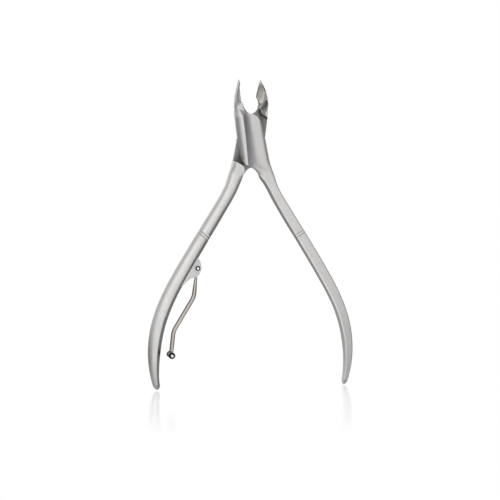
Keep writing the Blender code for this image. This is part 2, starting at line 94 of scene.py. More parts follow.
# the flat that chamfers a handle's two inner edges: height, width across
FACET_WIDE = [(-14.0, 0.5), (-25.0, 0.7), (-40.0, 1.0), (-55.0, 1.25), (-72.0, 1.45), (-85.0, 1.1), (-92.0, 0.6)]
FACET_SLIM = [(-14.0, 0.15), (-30.0, 0.15), (-60.0, 0.2), (-85.0, 0.25), (-92.0, 0.2)]
EDGE_Y = [(21.1, 2.35), (19.7, 3.0), (18.4, 3.6), (17.0, 4.1), (15.8, 4.45),
          (14.5, 4.65), (13.0, 4.7), (9.5, 4.2)]
FRONT_X = [(21.1, 0.15), (20.5, 0.25), (19.7, 0.5), (18.4, 1.2), (17.1, 1.85),
           (15.8, 2.05), (14.5, 2.0), (13.0, 1.5), (9.5, 0.6)]
FRONT_Y = [(21.1, 2.1), (20.5, 1.2), (19.7, -0.3), (18.4, -1.6), (17.1, -2.2),
           (15.8, -2.5), (14.5, -2.7), (13.0, -2.9), (9.5, -3.3)]
CREST_X = [(21.1, 0.3), (19.65, 1.18), (18.4, 1.86), (17.1, 2.46), (15.8, 3.05),
           (14.5, 3.44), (13.0, 3.84), (9.5, 4.3)]
CREST_Y = [(21.1, 2.25), (19.65, 1.6), (18.4, 1.0), (17.1, 0.2), (15.8, -0.2),
           (14.5, -0.6), (13.0, -0.8), (9.5, -0.4)]
TIP_Z = 21.1
RIDGE = [(11.0, 2.0), (2.0, 2.35), (-8.7, 3.2)]
SCOOP_W = [(9.5, 2.9), (2.0, 3.4), (-5.0, 4.1), (-9.0, 4.9), (-14.0, 5.6)]
GROOVE_Z = -34.6
END_Z = -89.3
END_LEN = 2.3


def smooth(table, z):
    pts = sorted(table)
    if z <= pts[0][0]:
        return pts[0][1]
    if z >= pts[-1][0]:
        return pts[-1][1]
    n = len(pts)

    def slope(i):
        if i <= 0:
            return (pts[1][1] - pts[0][1]) / (pts[1][0] - pts[0][0])
        if i >= n - 1:
            return (pts[-1][1] - pts[-2][1]) / (pts[-1][0] - pts[-2][0])
        a = (pts[i][1] - pts[i - 1][1]) / (pts[i][0] - pts[i - 1][0])
        b = (pts[i + 1][1] - pts[i][1]) / (pts[i + 1][0] - pts[i][0])
        ha = pts[i][0] - pts[i - 1][0]
        hb = pts[i + 1][0] - pts[i][0]
        return (a * hb + b * ha) / (ha + hb)

    for i in range(n - 1):
        z0, z1 = pts[i][0], pts[i + 1][0]
        if z0 <= z <= z1:
            h = z1 - z0
            t = (z - z0) / h
            m0, m1 = slope(i) * h, slope(i + 1) * h
            return ((2 * t ** 3 - 3 * t ** 2 + 1) * pts[i][1] + (t ** 3 - 2 * t ** 2 + t) * m0
                    + (-2 * t ** 3 + 3 * t ** 2) * pts[i + 1][1] + (t ** 3 - t ** 2) * m1)


def ease(a, b, z):
    t = min(1.0, max(0.0, (z - a) / (b - a)))
    return t * t * (3 - 2 * t)


def power(angle, p):
    c, s = math.cos(angle), math.sin(angle)
    return (math.copysign(abs(c) ** (2 / p), c), math.copysign(abs(s) ** (2 / p), s))


def bow(a, q, b, t):
    return tuple((1 - t) ** 2 * a[k] + 2 * t * (1 - t) * q[k] + t * t * b[k] for k in (0, 1))


def jaw_section(z, runs):
    c = (0.08, smooth(EDGE_Y, z))
    e = (smooth(FRONT_X, z), smooth(FRONT_Y, z))
    o = (smooth(CREST_X, z), smooth(CREST_Y, z))
    hollow = 0.9 * ease(TIP_Z, 17.5, z)
    full = ease(20.0, 15.0, z)
    q1 = (e[0] + (0.7 + 0.2 * full) * (o[0] - e[0]), e[1] + (0.3 - 0.25 * full) * (o[1] - e[1]))
    q2 = (o[0] * 0.97, o[1] + 0.8 * (c[1] - o[1]))
    mid = ((c[0] + e[0]) / 2 + hollow, (c[1] + e[1]) / 2)
    n1, n2, n3, n4 = runs
    pts = [bow(c, mid, e, i / n1) for i in range(n1)]
    pts += [bow(e, q1, o, i / n2) for i in range(n2)]
    pts += [bow(o, q2, c, 0.4 * i / n3) for i in range(n3)]
    pts += [bow(o, q2, c, 0.4 + 0.6 * i / n4) for i in range(n4)]
    return [(x, y, z) for x, y in pts]


def lap_section(z, runs):
    xl, xr = -smooth(OUTER, z), smooth(COLUMN, z)
    cx, hw, p = (xl + xr) / 2, (xr - xl) / 2, 6.0 - 3.0 * ease(6.5, 10.5, z)
    round_side = 6.0 - 3.9 * ease(3.0, 7.5, z)
    ridge = min(smooth(RIDGE, z), xr - 0.3)
    wide = max(1.0, min(smooth(SCOOP_W, z), ridge + 1.9))
    low = 0.6
    n1, n2, n3, n4 = runs

    def plain(angle):
        u, v = power(angle, round_side if math.cos(angle) > 0 else p)
        y = max(-FLAT, min(FLAT, HALF_THICK * v))
        if y > 0 and u < 0:
            y *= 1 - SCOOP / FLAT
        return cx + hw * u, y

    def rounded(angle):
        u, v = power(angle, 2.3)
        return ridge + (xr - ridge) * u, low + (FLAT - low) * v

    pts = [plain(math.radians(135 + 90 * i / n1)) for i in range(n1)]
    pts += [plain(math.radians(225 + 90 * i / n2)) for i in range(n2)]
    for i in range(n3):
        t = i / n3
        if t < 0.5:
            pts.append(plain(math.radians(315 + 90 * t)))
        else:
            pts.append(rounded(math.radians(90 * (t - 0.5))))
    corner = plain(math.radians(135))
    for i in range(n4):
        t = i / n4
        if t < 0.3:
            pts.append(rounded(math.radians(45 + 150 * t)))
            continue
        s = (t - 0.3) / 0.7
        x = ridge + (corner[0] - ridge) * s
        u = min(1.0, abs(x - cx) / hw)
        k = max(0.0, min(1.0, (ridge - x) / wide))
        y = FLAT - SCOOP * (1 - (1 - k) ** 1.9)
        side = HALF_THICK * (1 - SCOOP / FLAT) * (1 - u ** p) ** (1 / p)
        if x < cx:
            y = min(y, side)
        pts.append((x, y))
    return [(x, y, z) for x, y in pts]


def handle_section(z, runs, widths, facet, slope, shrink=1.0, slide=0.0):
    slope, root, square, inner = slope
    o = Vector((-smooth(OUTER, z), z))
    run = Vector((-(smooth(OUTER, z + 0.5) - smooth(OUTER, z - 0.5)), 1.0)).normalized()
    lean = ease(-9.0, -19.0, z)
    across = Vector((1.0, 0.0)).lerp(Vector((run.y, -run.x)), lean).normalized()
    w = smooth(widths, z) if z < -13.4 else smooth(COLUMN, z) + smooth(OUTER, z)
    mid = o + across * (w / 2) - run * slide
    hw, hd = w / 2, smooth(DEPTH, z)
    p = root + (square - root) * ease(-14.0, -28.0, z)
    c = smooth(facet, z)
    m = Vector((slope, 1.0)).normalized()
    far = m.x * (hw - c) + m.y * hd * 0.98
    pts = []
    start = 135
    for n in runs:
        for i in range(n):
            angle = math.radians(start + 90 * i / n)
            u, v = power(angle, p if math.cos(angle) < 0 else max(p, inner))
            x, y = hw * u, hd * v
            if x > 0:
                reach = m.x * x + m.y * abs(y)
                if reach > far:
                    x, y = x * far / reach, y * far / reach
            q = mid + across * (x * shrink)
            pts.append((q.x, y * shrink, q.y))
        start += 90
    return pts


def blend(a, b, t):
    return [tuple(p[k] * (1 - t) + q[k] * t for k in range(3)) for p, q in zip(a, b)]


def groove(z):
    d = abs(abs(z - GROOVE_Z) - 0.45)
    return 1.0 - 0.045 * max(0.0, 1.0 - d / 0.26)


def flip(ring, runs):
    """A section mirrored in Y, re-read so that it still starts at its back left."""
    n1 = runs[0]
    return [(ring[(n1 - j) % len(ring)][0], -ring[(n1 - j) % len(ring)][1], ring[(n1 - j) % len(ring)][2])
            for j in range(len(ring))]


def lever_rings(stations, runs, widths, facet, slope, turned_over, end_steps):
    """turned_over: the lap faces the other way, while the jaw keeps its edge at the back."""
    n1, n2, n3, n4 = runs
    jaw_runs = (n1, n4, n3, n2) if turned_over else runs
    rings = []
    for z in stations:
        if z > 8.2:
            ring = jaw_section(z, jaw_runs)
            t = ease(8.2, 13.5, z)
            if t < 1:
                lap = lap_section(z, runs)
                ring = blend(flip(lap, runs) if turned_over else lap, ring, t)
        else:
            if z > -8.0:
                ring = lap_section(z, runs)
            else:
                t = ease(-8.0, -13.4, z)
                ring = handle_section(z, runs, widths, facet, slope, shrink=groove(z))
                if t < 1:
                    ring = blend(lap_section(z, runs), ring, t)
            if turned_over:
                ring = flip(ring, runs)
        rings.append(ring)
    for i in range(1, end_steps + 1):
        a = math.radians(88.0 * i / end_steps)
        ring = handle_section(END_Z, runs, widths, facet, slope, shrink=max(0.12, math.cos(a)),
                              slide=END_LEN * math.sin(a))
        rings.append(flip(ring, runs) if turned_over else ring)
    return rings


def span(z0, z1, step):
    n = max(1, round(abs(z1 - z0) / step))
    return [z0 + (z1 - z0) * i / n for i in range(n)]


# ---------------------------------------------------------------------------
# mesh helpers
# ---------------------------------------------------------------------------
workshop = bpy.data.collections.new("cutters")
bpy.context.scene.collection.children.link(workshop)


def face_out(bm):
    bmesh.ops.recalc_face_normals(bm, faces=bm.faces)
    if bm.calc_volume(signed=True) < 0:
        bmesh.ops.reverse_faces(bm, faces=bm.faces)


def add_object(name, bm, materials=(), angle=32, cutter=False):
    face_out(bm)
    mesh = bpy.data.meshes.new(name)
    bm.to_mesh(mesh)
    bm.free()
    mesh.shade_smooth()
    mesh.set_sharp_from_angle(angle=math.radians(angle))
    obj = bpy.data.objects.new(name, mesh)
    (workshop if cutter else bpy.context.scene.collection).objects.link(obj)
    for m in materials:
        mesh.materials.append(m)
    return obj


def loft(rings, mirror=False, zone=None):
    bm = bmesh.new()
    sign = -1.0 if mirror else 1.0
    grid = [[bm.verts.new((sign * x * MM, y * MM, z * MM)) for x, y, z in ring] for ring in rings]
    n = len(grid[0])
    for i, (a, b) in enumerate(zip(grid, grid[1:])):
        for j in range(n):
            k = (j + 1) % n
            f = bm.faces.new((a[j], b[j], b[k], a[k]))
            if zone:
                f.material_index = zone(i, j)
    bm.faces.new(grid[0])
    bm.faces.new(list(reversed(grid[-1])))
    return bm


def fair(points, steps):
    """A smooth run through points, for an outline that is a curve on the real part."""
    out = []
    n = len(points)
    for i in range(n - 1):
        p0, p1, p2, p3 = (points[max(0, i - 1)], points[i], points[i + 1], points[min(n - 1, i + 2)])
        for s in range(steps):
            t = s / steps
            out.append(tuple(0.5 * (2 * p1[k] + (p2[k] - p0[k]) * t
                                    + (2 * p0[k] - 5 * p1[k] + 4 * p2[k] - p3[k]) * t * t
                                    + (3 * p1[k] - p0[k] - 3 * p2[k] + p3[k]) * t ** 3) for k in range(len(p1))))
    out.append(tuple(points[-1]))
    return out


def prism(name, points, y0, y1, mirror=False, material=None, cutter=True):
    bm = bmesh.new()
    sign = -1.0 if mirror else 1.0
    near = [bm.verts.new((sign * p[0] * MM, y0 * MM, p[1] * MM)) for p in points]
    far = [bm.verts.new((sign * p[0] * MM, y1 * MM, p[1] * MM)) for p in points]
    n = len(points)
    for j in range(n):
        k = (j + 1) % n
        bm.faces.new((near[j], near[k], far[k], far[j]))
    bm.faces.new(near)
    bm.faces.new(far)
    return add_object(name, bm, [material] if material else [], cutter=cutter)


def edge_cutter(name, points, levels, side, mirror, material, reach=0.45):
    """A three-sided bar along an outline's curve, which breaks the edge that the outline leaves on a face.
    levels gives (face height, width) at each point; the removed side is on the curve's left."""
    n = len(points)
    sign = -1.0 if mirror else 1.0
    rings = []
    for i, (x, z) in enumerate(points):
        d = (Vector(points[min(n - 1, i + 1)]) - Vector(points[max(0, i - 1)])).normalized()
        out = Vector((d.y, -d.x))
        face, w = levels[i]
        ring = [(-0.25, face - w - 0.25), (w + reach, face + reach), (-0.25, face + reach)]
        rings.append([(sign * (x + out.x * k), side * y, z + out.y * k) for k, y in ring])
    bm = loft(rings)
    bmesh.ops.triangulate(bm, faces=bm.faces)
    return add_object(name, bm, [material], cutter=True)


def rod(name, r, y0, y1, at, segments=64, material=None):
    bm = bmesh.new()
    bmesh.ops.create_cone(bm, cap_ends=True, segments=segments, radius1=r * MM, radius2=r * MM,
                          depth=abs(y1 - y0) * MM)
    bm.transform(Matrix.Translation((at[0] * MM, (y0 + y1) / 2 * MM, at[1] * MM))
                 @ Matrix.Rotation(math.radians(90), 4, "X"))
    return add_object(name, bm, [material] if material else [], cutter=True)


def combine(obj, other, how):
    mod = obj.modifiers.new(how.title(), "BOOLEAN")
    mod.operation = how
    mod.object = other
    mod.solver = "EXACT"
    mod.material_mode = "TRANSFER"
    mod.use_self = False


def settle(obj, angle=30):
    bpy.context.view_layer.update()
    deps = bpy.context.evaluated_depsgraph_get()
    mesh = bpy.data.meshes.new_from_object(obj.evaluated_get(deps))
    obj.modifiers.clear()
    obj.data = mesh
    bm = bmesh.new()
    bm.from_mesh(mesh)
    bmesh.ops.remove_doubles(bm, verts=bm.verts, dist=2e-6)
    bmesh.ops.dissolve_degenerate(bm, dist=2e-6, edges=bm.edges)
    bm.to_mesh(mesh)
    bm.free()
    mesh.shade_smooth()
    mesh.set_sharp_from_angle(angle=math.radians(angle))


def tilt(obj, side):
    """From the closed drawing to where the open tool has it."""
    m = Matrix.Translation(HINGE) @ Matrix.Rotation(math.radians(side * OPEN_HALF), 4, "Y")
    obj.data.transform(m)


joint = next(j for j in frame["joints"] if j["name"] == "lap_joint")
HINGE = Vector(joint["pos_m"])


# ---------------------------------------------------------------------------
# materials
# ---------------------------------------------------------------------------
class Nodes:
    def __init__(self, mat):
        self.t = mat.node_tree
        self.t.nodes.clear()

    def add(self, kind, **values):
        n = self.t.nodes.new(kind)
        for k, v in values.items():
            if k in n.inputs:
                n.inputs[k].default_value = v
            else:
                setattr(n, k, v)
        return n

    def link(self, a, b):
        self.t.links.new(a, b)


def lever_space(g, side):
    """Object coordinates turned into the closed lever's own drawing, in millimetres."""
    coord = g.add("ShaderNodeTexCoord")
    shift = g.add("ShaderNodeVectorMath", operation="SUBTRACT")
    g.link(coord.outputs["Object"], shift.inputs[0])
    shift.inputs[1].default_value = HINGE
    turn = g.add("ShaderNodeVectorRotate", rotation_type="Y_AXIS")
    turn.inputs["Angle"].default_value = math.radians(-side * OPEN_HALF)
    g.link(shift.outputs[0], turn.inputs["Vector"])
    big = g.add("ShaderNodeVectorMath", operation="SCALE")
    big.inputs["Scale"].default_value = 1000.0
    g.link(turn.outputs[0], big.inputs[0])
    return big.outputs[0]


def streaks(g, space, angle, fine, coarse, detail=3.0):
    """Grinding lines: noise drawn out along a direction in the XZ plane. Sizes in lines a millimetre."""
    rot = g.add("ShaderNodeVectorRotate", rotation_type="Y_AXIS")
    rot.inputs["Angle"].default_value = math.radians(angle)
    g.link(space, rot.inputs["Vector"])
    mul = g.add("ShaderNodeVectorMath", operation="MULTIPLY")
    mul.inputs[1].default_value = (fine, fine, coarse)
    g.link(rot.outputs[0], mul.inputs[0])
    n = g.add("ShaderNodeTexNoise", noise_dimensions="3D", Scale=1.0, Detail=detail, Roughness=0.6)
    g.link(mul.outputs[0], n.inputs["Vector"])
    return n.outputs["Fac"]


def ramp(g, fac, stops):
    r = g.add("ShaderNodeValToRGB")
    el = r.color_ramp.elements
    while len(el) < len(stops):
        el.new(0.5)
    for e, (pos, col) in zip(el, stops):
        e.position = pos
        e.color = (*col, 1.0) if len(col) == 3 else col
    g.link(fac, r.inputs[0])
    return r.outputs["Color"]


def remap(g, value, a, b, lo, hi):
    m = g.add("ShaderNodeMapRange")
    m.inputs["From Min"].default_value = a
    m.inputs["From Max"].default_value = b
    m.inputs["To Min"].default_value = lo
    m.inputs["To Max"].default_value = hi
    g.link(value, m.inputs["Value"])
    return m.outputs["Result"]


def mix(g, fac, a, b, kind="MIX"):
    m = g.add("ShaderNodeMix", data_type="RGBA", blend_type=kind)
    if isinstance(fac, float):
        m.inputs[0].default_value = fac
    else:
        g.link(fac, m.inputs[0])
    for sock, v in ((m.inputs[6], a), (m.inputs[7], b)):
        if isinstance(v, tuple):
            sock.default_value = (*v, 1.0)
        else:
            g.link(v, sock)
    return m.outputs[2]


def ground_steel(name, side, tone, dark, rough, spread, lines, edge=0.35, bump=0.25, aniso=0.0, mottle=1.0,
                 fade=None, painted_facing_tone=None, painted_side_shade=None):
    """A ground or brushed steel: tone and dark are its two greys, lines a list of
    (angle, fine, coarse, weight) for its grinding marks."""
    mat = bpy.data.materials.new(name)
    mat.use_nodes = True
    g = Nodes(mat)
    out = g.add("ShaderNodeOutputMaterial")
    bsdf = g.add("ShaderNodeBsdfPrincipled", Metallic=1.0)
    bsdf.inputs["Anisotropic"].default_value = aniso
    g.link(bsdf.outputs[0], out.inputs["Surface"])
    space = lever_space(g, side)
    total = None
    for angle, fine, coarse, weight in lines:
        s = streaks(g, space, angle, fine, coarse)
        scaled = g.add("ShaderNodeMath", operation="MULTIPLY")
        g.link(s, scaled.inputs[0])
        scaled.inputs[1].default_value = weight
        if total is None:
            total = scaled.outputs[0]
        else:
            add = g.add("ShaderNodeMath", operation="ADD")
            g.link(total, add.inputs[0])
            g.link(scaled.outputs[0], add.inputs[1])
            total = add.outputs[0]
    full = sum(w for *_, w in lines)
    grain = remap(g, total, 0.34 * full, 0.66 * full, 0.0, 1.0)
    cloud = g.add("ShaderNodeTexNoise", noise_dimensions="3D", Scale=0.22, Detail=4.0, Roughness=0.65)
    g.link(space, cloud.inputs["Vector"])
    patch = remap(g, cloud.outputs["Fac"], 0.3, 0.7, 0.0, 1.0)
    base = mix(g, grain, dark, tone)
    worn = tuple(c * (1 - 0.07 * mottle) for c in tone)
    base = mix(g, remap(g, patch, 0.0, 1.0, 0.0, 0.55 * mottle), base, worn)
    # darker from the height z1 upward: the tone times factor, blended in from z0
    if fade:
        height = g.add("ShaderNodeSeparateXYZ")
        g.link(space, height.inputs[0])
        z0, z1, factor = fade
        base = mix(g, remap(g, height.outputs["Z"], z0, z1, 0.0, 1.0), base, tuple(c * factor for c in tone))
    geo = g.add("ShaderNodeNewGeometry")
    own = g.add("ShaderNodeTexCoord")     # its normal turns with the piece, so the tones ride with the pose
    if painted_facing_tone:
        # painted light and shade: faces turned this way are painted darker (factor below 1) or brighter (factor above
        # 1) than the rest, less so towards the height z0
        way, least, most, z0, z1, factor = painted_facing_tone
        height = g.add("ShaderNodeSeparateXYZ")
        g.link(space, height.inputs[0])
        facing = g.add("ShaderNodeVectorMath", operation="DOT_PRODUCT")
        g.link(own.outputs["Normal"], facing.inputs[0])
        facing.inputs[1].default_value = Vector(way).normalized()
        both = g.add("ShaderNodeMath", operation="MULTIPLY")
        g.link(remap(g, facing.outputs["Value"], least, most, 0.0, 1.0), both.inputs[0])
        g.link(remap(g, height.outputs["Z"], z0, z1, 0.15, 1.0), both.inputs[1])
        base = mix(g, both.outputs[0], base, tuple(c * factor for c in dark))
    if painted_side_shade:
        # painted shade: the wire's two sides, where its normal turns away from front and back, are painted dark, as a
        # polished round wire looks dark at its edges
        parts_ = g.add("ShaderNodeSeparateXYZ")
        g.link(own.outputs["Normal"], parts_.inputs[0])
        square_ = g.add("ShaderNodeMath", operation="MULTIPLY")
        g.link(parts_.outputs["Y"], square_.inputs[0])
        g.link(parts_.outputs["Y"], square_.inputs[1])
        base = mix(g, remap(g, square_.outputs[0], 0.75, 0.2, 0.0, 1.0), base, painted_side_shade)
    # painted highlight: convex edges (high pointiness) are painted near-white, up to the strength edge
    painted_edge_tone = remap(g, geo.outputs["Pointiness"], 0.505, 0.56, 0.0, edge)
    base = mix(g, painted_edge_tone, base, (0.93, 0.925, 0.915))
    # painted shade: concave creases (low pointiness) are painted darker
    crease_shade = remap(g, geo.outputs["Pointiness"], 0.495, 0.44, 0.0, 0.35)
    base = mix(g, crease_shade, base, tuple(c * 0.55 for c in dark))
    g.link(base, bsdf.inputs["Base Color"])
    r = remap(g, grain, 0.0, 1.0, rough + spread, rough - spread)
    r2 = g.add("ShaderNodeMath", operation="ADD")
    g.link(r, r2.inputs[0])
    g.link(remap(g, patch, 0.0, 1.0, -0.03, 0.04), r2.inputs[1])
    g.link(r2.outputs[0], bsdf.inputs["Roughness"])
    b = g.add("ShaderNodeBump", Strength=bump, Distance=0.00004)
    g.link(grain, b.inputs["Height"])
    g.link(b.outputs["Normal"], bsdf.inputs["Normal"])
    return mat


ACROSS = [(62.0, 9.0, 0.9, 1.0), (58.0, 3.2, 0.35, 0.8), (-35.0, 5.0, 0.7, 0.25)]
ALONG = [(18.0, 8.0, 0.7, 1.0), (12.0, 3.0, 0.25, 0.7), (55.0, 5.0, 0.8, 0.45)]
CROSS = [(88.0, 10.0, 0.8, 1.0), (90.0, 4.0, 0.4, 0.6)]

# the front lever's faces turned left and to the front are painted brighter, as painted light
front_satin = ground_steel("satin_front", -1, (0.785, 0.775, 0.76), (0.685, 0.675, 0.665), 0.40, 0.05, ACROSS,
                           fade=(-19.0, -6.0, 0.84), painted_facing_tone=((-0.85, -0.5, -0.15), 0.70, 0.92, -15.0, -19.0, 1.36))
# the back lever's faces turned right and to the front are painted darker, as painted shade
back_satin = ground_steel("satin_back", 1, (0.78, 0.77, 0.755), (0.665, 0.655, 0.64), 0.38, 0.06, ALONG,
                          painted_facing_tone=((0.60, -0.78, -0.18), 0.90, 0.965, -16.0, -45.0, 0.5))
front_scoop = ground_steel("hollow_ground_front", -1, (0.71, 0.70, 0.72), (0.52, 0.51, 0.54), 0.36, 0.05, CROSS)
back_scoop = ground_steel("hollow_ground_back", 1, (0.71, 0.70, 0.72), (0.52, 0.51, 0.54), 0.36, 0.05, CROSS)
front_mill = ground_steel("milled_front", -1, (0.60, 0.58, 0.55), (0.38, 0.36, 0.34), 0.42, 0.06, CROSS, edge=0.2, mottle=2.0)
# painted shade: the back lever's milled recess and throat side are painted near-black, where shade falls in them
back_milled_shade = ground_steel("milled_painted_shade_back", 1, (0.125, 0.118, 0.110), (0.055, 0.052, 0.048), 0.40, 0.06, CROSS, edge=0.2, mottle=2.0)
front_land = ground_steel("bright_land_front", -1, (0.88, 0.87, 0.86), (0.80, 0.79, 0.78), 0.30, 0.04, ACROSS)
back_land = ground_steel("bright_land_back", 1, (0.88, 0.87, 0.86), (0.80, 0.79, 0.78), 0.30, 0.04, ALONG)
# painted shade: the front jaw's hollow is painted dark grey, where the back jaw's same hollow is pale
front_hollow_shade = ground_steel("jaw_hollow_painted_shade_front", -1, (0.33, 0.33, 0.35), (0.20, 0.20, 0.22), 0.34, 0.05, CROSS, mottle=1.5)
back_leaf = ground_steel("jaw_hollow_back", 1, (0.90, 0.865, 0.79), (0.70, 0.665, 0.60), 0.36, 0.06, CROSS, mottle=2.0)
# painted shade: the jaws' edges and the back jaw's throat side are painted dark grey
jaw_edge_shade_front = ground_steel("jaw_edge_painted_shade_front", -1, (0.30, 0.30, 0.32), (0.16, 0.16, 0.18), 0.34, 0.05, CROSS, mottle=1.5)
jaw_edge_shade_back = ground_steel("jaw_edge_painted_shade_back", 1, (0.33, 0.325, 0.32), (0.19, 0.187, 0.184), 0.36, 0.06, CROSS, mottle=2.0)
lug_metal = ground_steel("lug_satin", 1, (0.64, 0.63, 0.62), (0.52, 0.51, 0.50), 0.42, 0.05, ACROSS)
# the wire's two sides get painted shade
wire_metal = ground_steel("tempered_wire", 1, (0.66, 0.61, 0.57), (0.46, 0.415, 0.385), 0.32, 0.07,
                          [(20.0, 2.0, 6.0, 1.0), (20.0, 0.8, 3.0, 0.6)], edge=0.0, mottle=2.5,
                          painted_side_shade=(0.13, 0.10, 0.085))


def painted_dome_glint(name, at, bright, shade_tone, radius, rough):
    """Steel with a painted highlight on its domed crown and near-black painted shade round it, about an axis along Y,
    as a polished dome shows.
    """
    mat = bpy.data.materials.new(name)
    mat.use_nodes = True
    g = Nodes(mat)
    out = g.add("ShaderNodeOutputMaterial")
    bsdf = g.add("ShaderNodeBsdfPrincipled", Metallic=1.0)
    g.link(bsdf.outputs[0], out.inputs["Surface"])
    space = lever_space(g, 1)
    rel = g.add("ShaderNodeVectorMath", operation="SUBTRACT")
    g.link(space, rel.inputs[0])
    rel.inputs[1].default_value = (at[0], 0.0, at[1])
    flat = g.add("ShaderNodeVectorMath", operation="MULTIPLY")
    g.link(rel.outputs[0], flat.inputs[0])
    flat.inputs[1].default_value = (1.0, 0.0, 1.0)
    far = g.add("ShaderNodeVectorMath", operation="LENGTH")
    g.link(flat.outputs[0], far.inputs[0])
    ragged = g.add("ShaderNodeTexNoise", noise_dimensions="3D", Scale=4.0, Detail=3.0)
    g.link(space, ragged.inputs["Vector"])
    sum_ = g.add("ShaderNodeMath", operation="MULTIPLY_ADD")
    g.link(ragged.outputs["Fac"], sum_.inputs[0])
    sum_.inputs[1].default_value = 0.12
    g.link(far.outputs["Value"], sum_.inputs[2])
    mask = remap(g, sum_.outputs[0], radius, radius + 0.22, 0.0, 1.0)
    spots = remap(g, ragged.outputs["Fac"], 0.3, 0.7, 0.0, 1.0)
    crown_highlight = mix(g, spots, bright, tuple(c * 0.88 for c in bright))
    rim_shade = mix(g, spots, shade_tone, tuple(c * 1.9 for c in shade_tone))
    g.link(mix(g, mask, crown_highlight, rim_shade), bsdf.inputs["Base Color"])
    g.link(remap(g, mask, 0.0, 1.0, rough, rough + 0.16), bsdf.inputs["Roughness"])
    b = g.add("ShaderNodeBump", Strength=0.12, Distance=0.00002)
    g.link(ragged.outputs["Fac"], b.inputs["Height"])
    g.link(b.outputs["Normal"], bsdf.inputs["Normal"])
    return mat


# the pin heads carry a painted highlight on the crown and painted shade round it
spring_pin_metal = painted_dome_glint("pin_painted_glint", ARM_PIN, (0.95, 0.95, 0.94), (0.022, 0.02, 0.019), 0.38, 0.14)
cross_pin_metal = painted_dome_glint("bar_painted_glint", ARM_END, (0.86, 0.85, 0.84), (0.018, 0.016, 0.015), 0.46, 0.18)

# ---------------------------------------------------------------------------
# the two levers
# ---------------------------------------------------------------------------
RUNS = (20, 24, 20, 40)
STATIONS = (span(TIP_Z, 9.5, 0.22) + span(9.5, -14.0, 0.3) + span(-14.0, -33.7, 0.5)
            + span(-33.7, -35.5, 0.065) + span(-35.5, END_Z, 0.6) + [END_Z])


def throat_plan(heel):
    back = heel > 14
    curve = [(-5.6, -3.0), (-4.35, 0.5), (-4.15, 4.4), (-3.75, 6.3), (-2.9, 7.75), (-1.8, 8.6),
             (-0.6, 9.1), (0.2, 9.9), (0.75, 11.0), (1.15, 12.0 if back else 11.8),
             (1.2, 12.9 if back else 12.2), (0.9, 13.9 if back else 12.5), (0.08, heel)]
    return fair(curve, 6), [(-1.0, heel + 0.2), (-1.0, 24.0), (-9.0, 24.0), (-9.0, -3.0)]


def lap_plan():
    low = fair([(-2.9, -9.05), (-1.6, -9.75), (-1.05, -11.0), (-1.0, -12.4), (-1.08, -13.7), (-1.22, -15.3)], 5)
    arc = [(LAP_R * math.cos(math.radians(12 + 68 * i / 40)), LAP_R * math.sin(math.radians(12 + 68 * i / 40)))
           for i in range(41)]
    return [(-8.0, -7.5)] + low + [(3.0, -15.3), (8.5, -10.0)] + arc + [
        (0.95, 10.6), (0.6, 11.4), (-2.0, 11.9), (-8.0, 11.9)]


def crotch_plan():
    curve = [(4.95, -5.9), (4.75, -6.9), (4.2, -7.8), (3.2, -8.6), (2.1, -9.35), (0.75, -10.3),
             (-0.1, -11.6), (-0.95, -13.6)]
    return [(6.5, -5.6)] + fair(curve, 5) + [(-0.95, -14.2), (6.5, -14.2)]


def zone_map(turned_over):
    """Which material a patch of the loft takes: 0 satin, 1 the scoop beside the ridge, 2 the jaw's hollow (painted dark
    grey as shade on the front lever), 3 the milled tone, painted near-black as shade on the back lever's throat side, 5
    painted shade on the jaws' edges and the back jaw's throat side.
    """
    n1, n2, n3, n4 = RUNS
    n = sum(RUNS)

    def zone(i, j):
        z = STATIONS[min(i, len(STATIONS) - 1)]
        if z > 11.6 and j < n1:
            return 5 if j < 0.1 * n1 or j >= 0.74 * n1 else 2
        if 8.6 < z <= 11.6 and j < n1 and not turned_over:
            return 3
        if 9.3 < z <= 14.3 and n1 <= j < n1 + 0.55 * n2 and not turned_over:
            return 5
        if z > 13.2 and n1 <= j < n1 + 0.4 * n4 and turned_over:
            return 2
        if -10.0 < z <= 9.6:
            k = (n1 - 1 - j) % n if turned_over else j
            run4 = k - (n1 + n2 + n3)
            if 0.3 * n4 <= run4 < 0.56 * n4:
                return 1
        return 0
    return zone


def lever(name, widths, facet, slope, front, skins):
    # the fourth skin is the milled tone, painted near-black as shade on the back lever; the last skin is painted shade
    # on the jaws' edges
    satin, scoop, leaf, milled_and_shaded, land, painted_edge_tone = skins
    heel = 12.9 if front else 15.2
    rings = lever_rings(STATIONS, RUNS, widths, facet, slope, front, 10)
    obj = add_object(name, loft(rings, front, zone_map(front)), [satin, scoop, leaf, milled_and_shaded, land, painted_edge_tone])
    curve, rest = throat_plan(heel)
    lap = (LAP_GAP / 2, 9.0) if front else (-9.0, LAP_GAP / 2)
    if front:
        lap = (-LAP_GAP / 2, 9.0)
    combine(obj, prism(name + "_lap_cut", lap_plan(), *lap, front, milled_and_shaded), "DIFFERENCE")
    combine(obj, prism(name + "_throat_cut", curve + rest, -9.0, 9.0, front, milled_and_shaded), "DIFFERENCE")
    combine(obj, prism(name + "_crotch_cut", crotch_plan(), -9.0, 9.0, front, satin), "DIFFERENCE")
    # the edge of the throat and of the lap's rounded shoulder is broken, wider towards the jaw
    outer_face = FLAT - SCOOP
    levels = []
    for x, z in curve:
        wide = 0.12 + 0.85 * ease(-1.8, 0.4, x) * ease(12.5, 11.2, z)
        levels.append((outer_face + 0.38 * ease(-0.6, 0.8, x), wide))
    side = -1.0 if front else 1.0
    combine(obj, edge_cutter(name + "_throat_edge", curve[8:-8], levels[8:-8], side, front, land), "DIFFERENCE")
    settle(obj, 17)
    tilt(obj, -1 if front else 1)
    return obj


